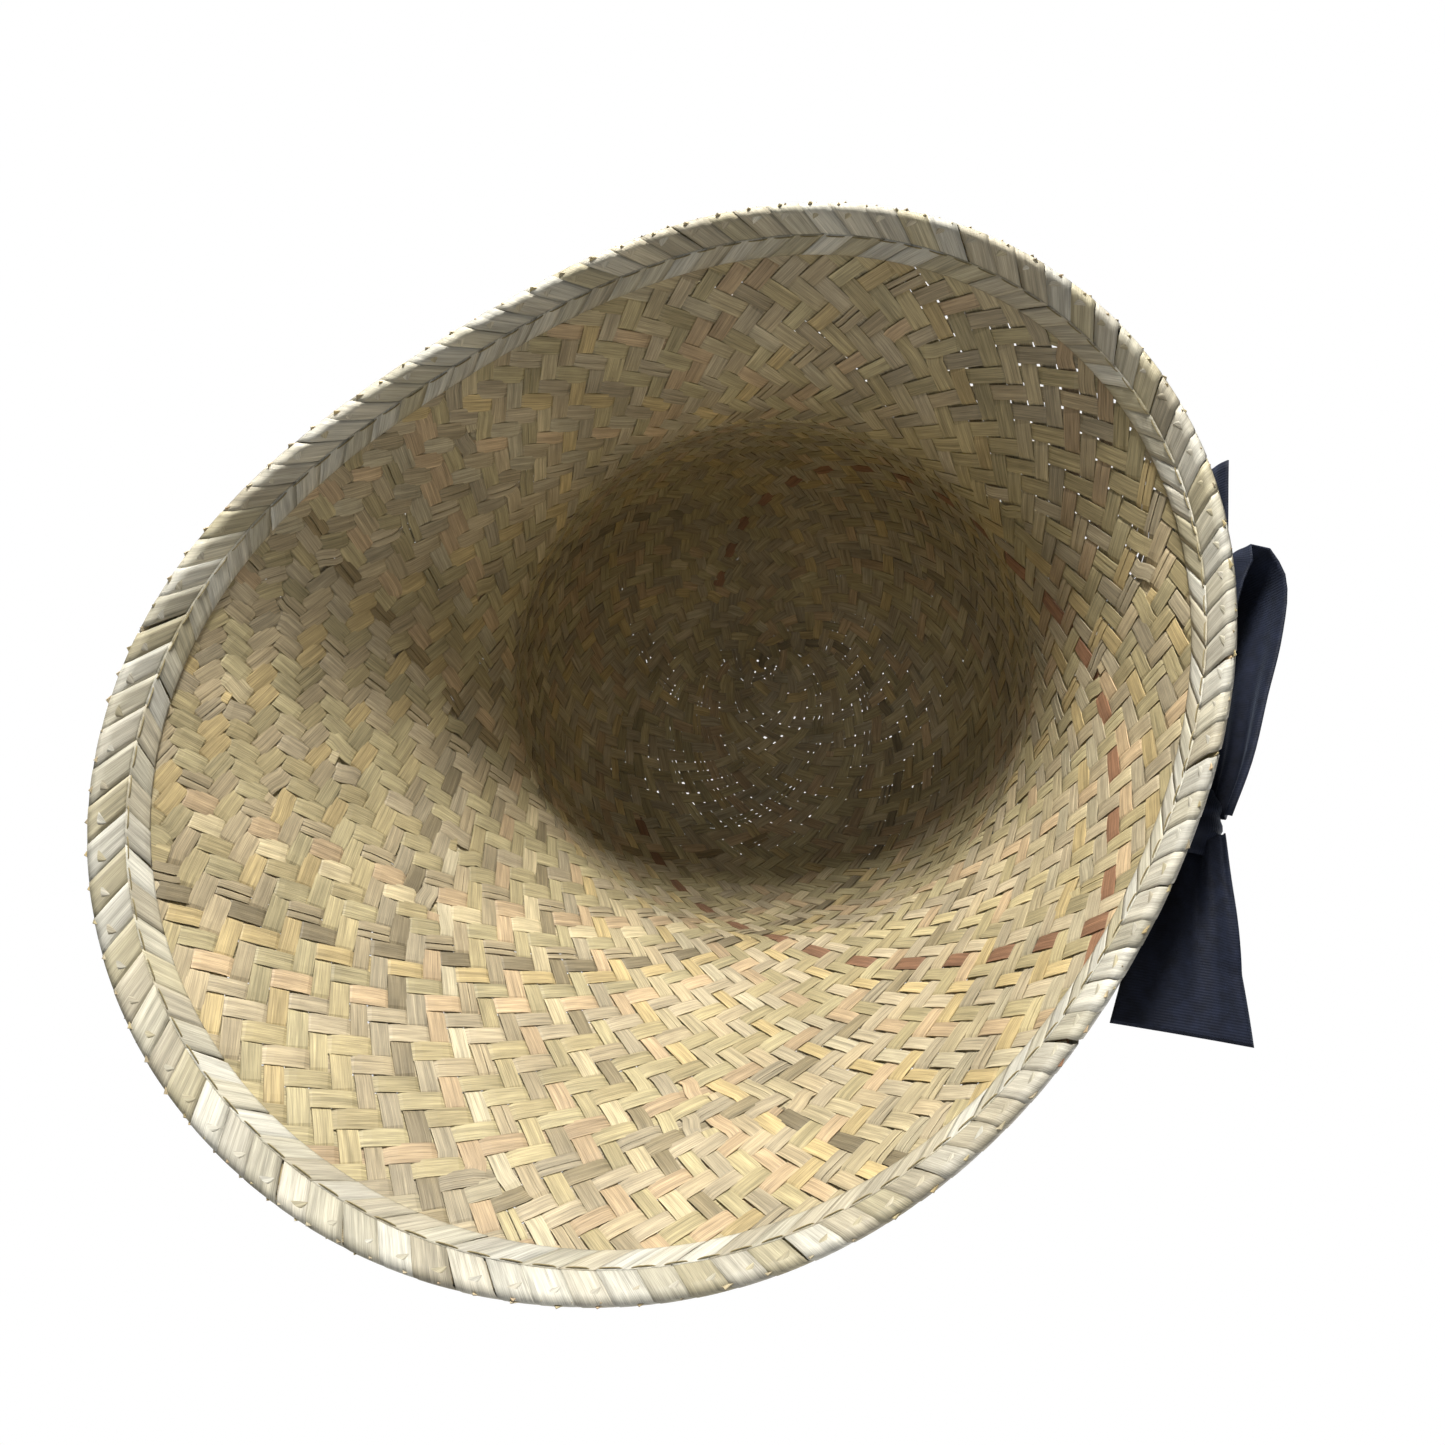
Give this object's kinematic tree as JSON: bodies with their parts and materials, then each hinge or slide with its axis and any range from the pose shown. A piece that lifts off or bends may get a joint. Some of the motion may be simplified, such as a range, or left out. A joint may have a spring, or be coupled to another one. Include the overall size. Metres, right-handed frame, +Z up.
{
  "type": "conical hat",
  "caption": "Woven straw hat with a conical-topped crown, a steep flared brim, a plaited edge and a side bow of wide ribbon.",
  "frame": {"origin": "middle of the overall plan box, bow included, on the plane that the brim's lowest edge rests on", "axes": "+Z up towards the crown, -Y to the front where the brim is longest, -X to the side that carries the bow"},
  "size_m": [0.2899, 0.3264, 0.2289],
  "materials": {
    "straw": "dried palm strand, twill woven, satin",
    "braid_straw": "flat plait of paler straw",
    "thread": "matte sewing thread",
    "ribbon": "dark navy woven ribbon with a dull satin sheen"
  },
  "bodies": {
    "hat": {"crown_weave": "straw", "brim_weave": "straw", "edge_braid": "braid_straw", "braid_stitches": "thread", "hatband": "ribbon", "band_ends": "ribbon", "bow_knot": "ribbon", "bow_loop_back": "ribbon", "bow_loop_front": "ribbon", "ribbon_tail_back": "ribbon"},
    "front_tail": {"ribbon_tail_front": "ribbon"}
  },
  "joints": [
    {"name": "front_tail_swing", "type": "hinge", "parent": "hat", "child": "front_tail", "pos_m": [-0.1038, 0.0722, 0.026], "axis": [-0.2996, 0.0999, -0.9488], "range_deg": [-6, 38], "stiffness_Nm_per_rad": 0.01}
  ]
}
